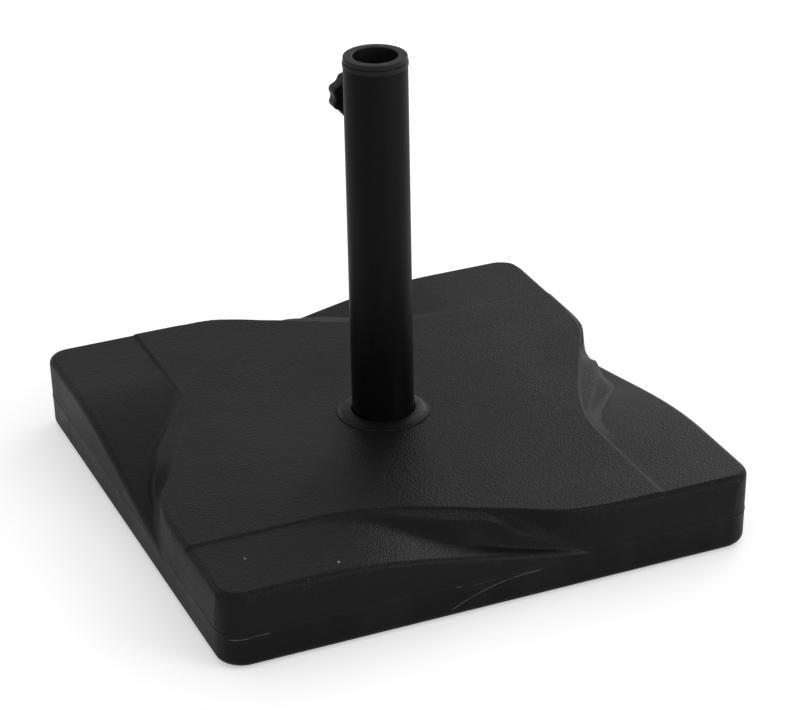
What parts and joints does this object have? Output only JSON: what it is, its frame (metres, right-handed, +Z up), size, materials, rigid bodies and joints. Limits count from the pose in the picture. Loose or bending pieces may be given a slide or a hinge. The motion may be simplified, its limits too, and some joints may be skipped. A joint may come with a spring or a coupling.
{
  "type": "parasol base",
  "caption": "Square concrete-filled parasol base with a sculpted pinwheel top, a central steel tube with a reducing bush, and a side clamping knob for the pole.",
  "frame": {"origin": "on the floor, under the tube's axis, in the middle of the square base", "axes": "+Z up along the tube, +Y towards the clamping knob, X and Y square to the base's sides"},
  "size_m": [0.4818, 0.4818, 0.4043],
  "materials": {
    "shell_plastic": "grained charcoal polyethylene, satin below the parting line",
    "concrete": "rough cast concrete",
    "plug_plastic": "smooth black polyethylene",
    "pad_rubber": "soft black rubber",
    "trim_plastic": "smooth charcoal plastic, low sheen",
    "tube_paint": "black satin powder coat",
    "zinc_steel": "zinc-plated steel",
    "inner_plastic": "black polypropylene",
    "bush_plastic": "black polypropylene, fine satin",
    "knob_plastic": "black glass-filled nylon",
    "pad_nylon": "natural nylon"
  },
  "bodies": {
    "base": {"base_shell": "shell_plastic", "concrete_ballast": "concrete", "filler_plug": "plug_plastic", "foot_pad_1": "pad_rubber", "foot_pad_2": "pad_rubber", "foot_pad_3": "pad_rubber", "foot_pad_4": "pad_rubber", "collar_ring": "trim_plastic", "tube": "tube_paint", "tube_foot_plate": "tube_paint", "tie_nut": "zinc_steel", "tie_bolt": "zinc_steel", "tie_washer": "zinc_steel", "tie_lock_washer": "zinc_steel", "pole_guide": "inner_plastic", "knob_boss": "tube_paint"},
    "bush": {"top_bush": "bush_plastic"},
    "pad": {"pressure_pad": "pad_nylon"},
    "knob": {"knob": "knob_plastic", "knob_cap": "knob_plastic", "clamp_screw": "zinc_steel"}
  },
  "joints": [
    {"name": "bush_lift", "type": "slide", "parent": "base", "child": "bush", "axis": [0, 0, 1], "range_m": [0, 0.05]},
    {"name": "pad_slide", "type": "slide", "parent": "base", "child": "pad", "axis": [0, -1, 0], "range_m": [-0.0025, 0.001]},
    {"name": "knob_turn", "type": "hinge", "parent": "pad", "child": "knob", "pos_m": [0, 0.0502, 0.35], "axis": [0, -1, 0], "range_deg": [-722, 290]}
  ],
  "couplings": [
    {"joint": "knob_turn", "follows": "pad_slide", "rad_per_m": 5026.5}
  ]
}
